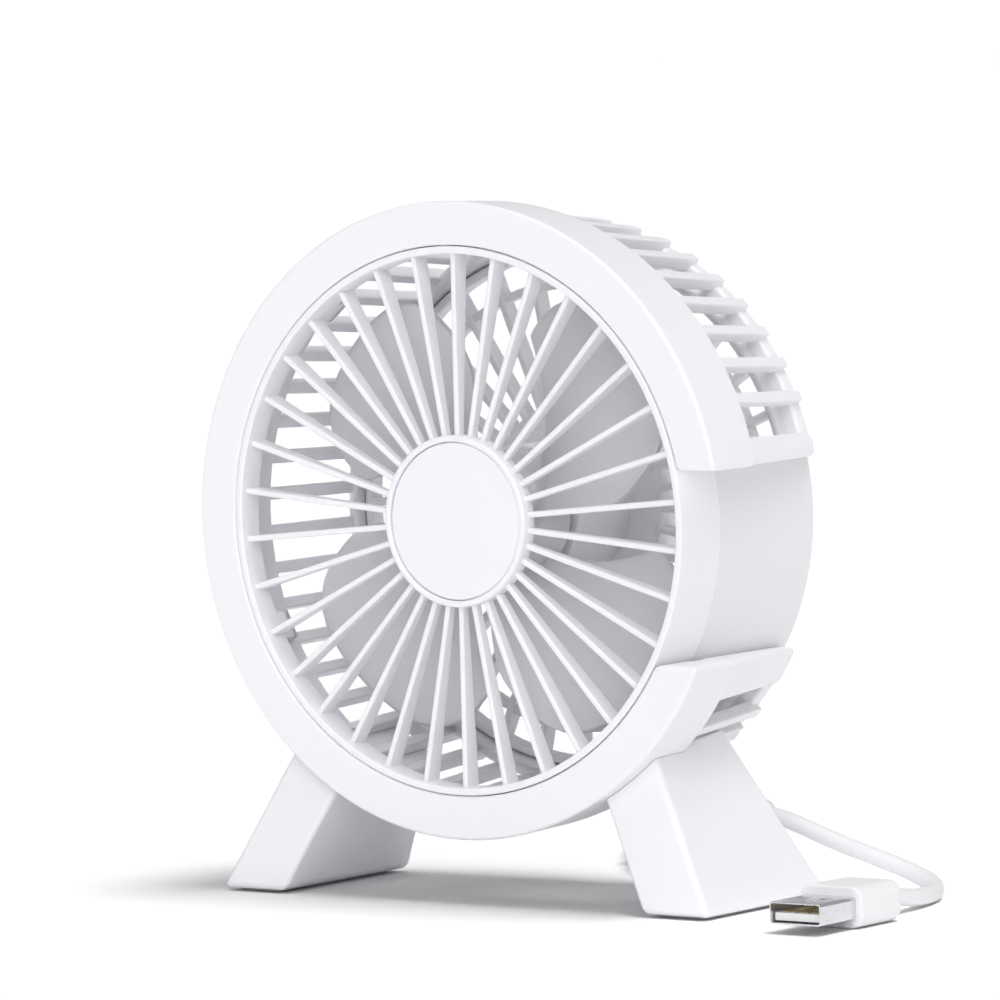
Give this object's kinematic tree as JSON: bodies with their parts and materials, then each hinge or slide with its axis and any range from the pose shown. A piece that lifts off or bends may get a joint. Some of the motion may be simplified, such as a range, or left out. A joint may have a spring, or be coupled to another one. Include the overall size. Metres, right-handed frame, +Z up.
{
  "type": "desk fan",
  "caption": "USB desk fan: C-shaped bezel round a radial grille, slotted rear housing, splayed feet, impeller on a brushed motor, rear push button, USB cable with its spare length tied.",
  "frame": {"origin": "on the surface the fan stands on, under the middle of the fan's box without its cable", "axes": "+X to the viewer's right, +Y from the fan's front to its back, +Z up"},
  "size_m": [0.1603, 0.1234, 0.1432],
  "materials": {
    "white_plastic": "smooth satin-gloss white moulding",
    "blade_plastic": "smooth, slightly greyer white moulding",
    "button_plastic": "fine matt texture",
    "pad_rubber": "matt soft rubber",
    "cable_jacket": "soft matt white jacket",
    "plug_moulding": "soft matt white moulding",
    "plug_steel": "bright plated steel",
    "insulator": "plain moulded white",
    "brass": "bright",
    "copper": "worn bright copper",
    "magnet": "matt dark ferrite",
    "switch_plastic": "matt black",
    "board": "lacquered green",
    "core_steel": "dull laminated steel",
    "steel": "plated steel"
  },
  "bodies": {
    "stand": {"back_grille": "white_plastic", "bezel_screw_1": "steel", "bezel_screw_2": "steel", "bezel_screw_3": "steel", "bezel_screw_4": "steel", "cable_from_fan": "cable_jacket", "cable_gland": "cable_jacket", "cable_hank": "cable_jacket", "cable_tie": "cable_jacket", "cable_to_plug": "cable_jacket", "control_board": "board", "cover_screw_1": "steel", "cover_screw_2": "steel", "cover_screw_3": "steel", "front_bezel": "white_plastic", "front_grille": "white_plastic", "grille_cap": "white_plastic", "left_foot": "white_plastic", "left_foot_pad": "pad_rubber", "left_foot_screw_front": "steel", "left_foot_screw_rear": "steel", "motor_brush_left": "copper", "motor_brush_right": "copper", "motor_bush_front": "brass", "motor_bush_rear": "brass", "motor_can": "steel", "motor_cover": "white_plastic", "motor_end_cap": "insulator", "motor_magnet_left": "magnet", "motor_magnet_right": "magnet", "motor_screw_1": "steel", "motor_screw_2": "steel", "plug_body": "plug_moulding", "plug_contact_1": "brass", "plug_contact_2": "brass", "plug_contact_3": "brass", "plug_contact_4": "brass", "plug_shell": "plug_steel", "plug_tongue": "insulator", "rear_housing": "white_plastic", "right_foot": "white_plastic", "right_foot_pad": "pad_rubber", "right_foot_screw_front": "steel", "right_foot_screw_rear": "steel", "switch_body": "switch_plastic"},
    "rotor": {"impeller": "blade_plastic", "impeller_clip": "insulator", "motor_shaft": "steel", "rotor_core": "core_steel", "commutator": "copper"},
    "button": {"power_button": "button_plastic", "switch_plunger": "insulator"}
  },
  "joints": [
    {"name": "impeller_spin", "type": "hinge", "parent": "stand", "child": "rotor", "pos_m": [0.00049, -0.0114, 0.07825], "axis": [0, 1, 0], "continuous": true},
    {"name": "power_button_press", "type": "slide", "parent": "stand", "child": "button", "axis": [0, -1, 0], "range_m": [0, 0.0011], "stiffness_N_per_m": 600, "springref_m": -0.0006}
  ]
}
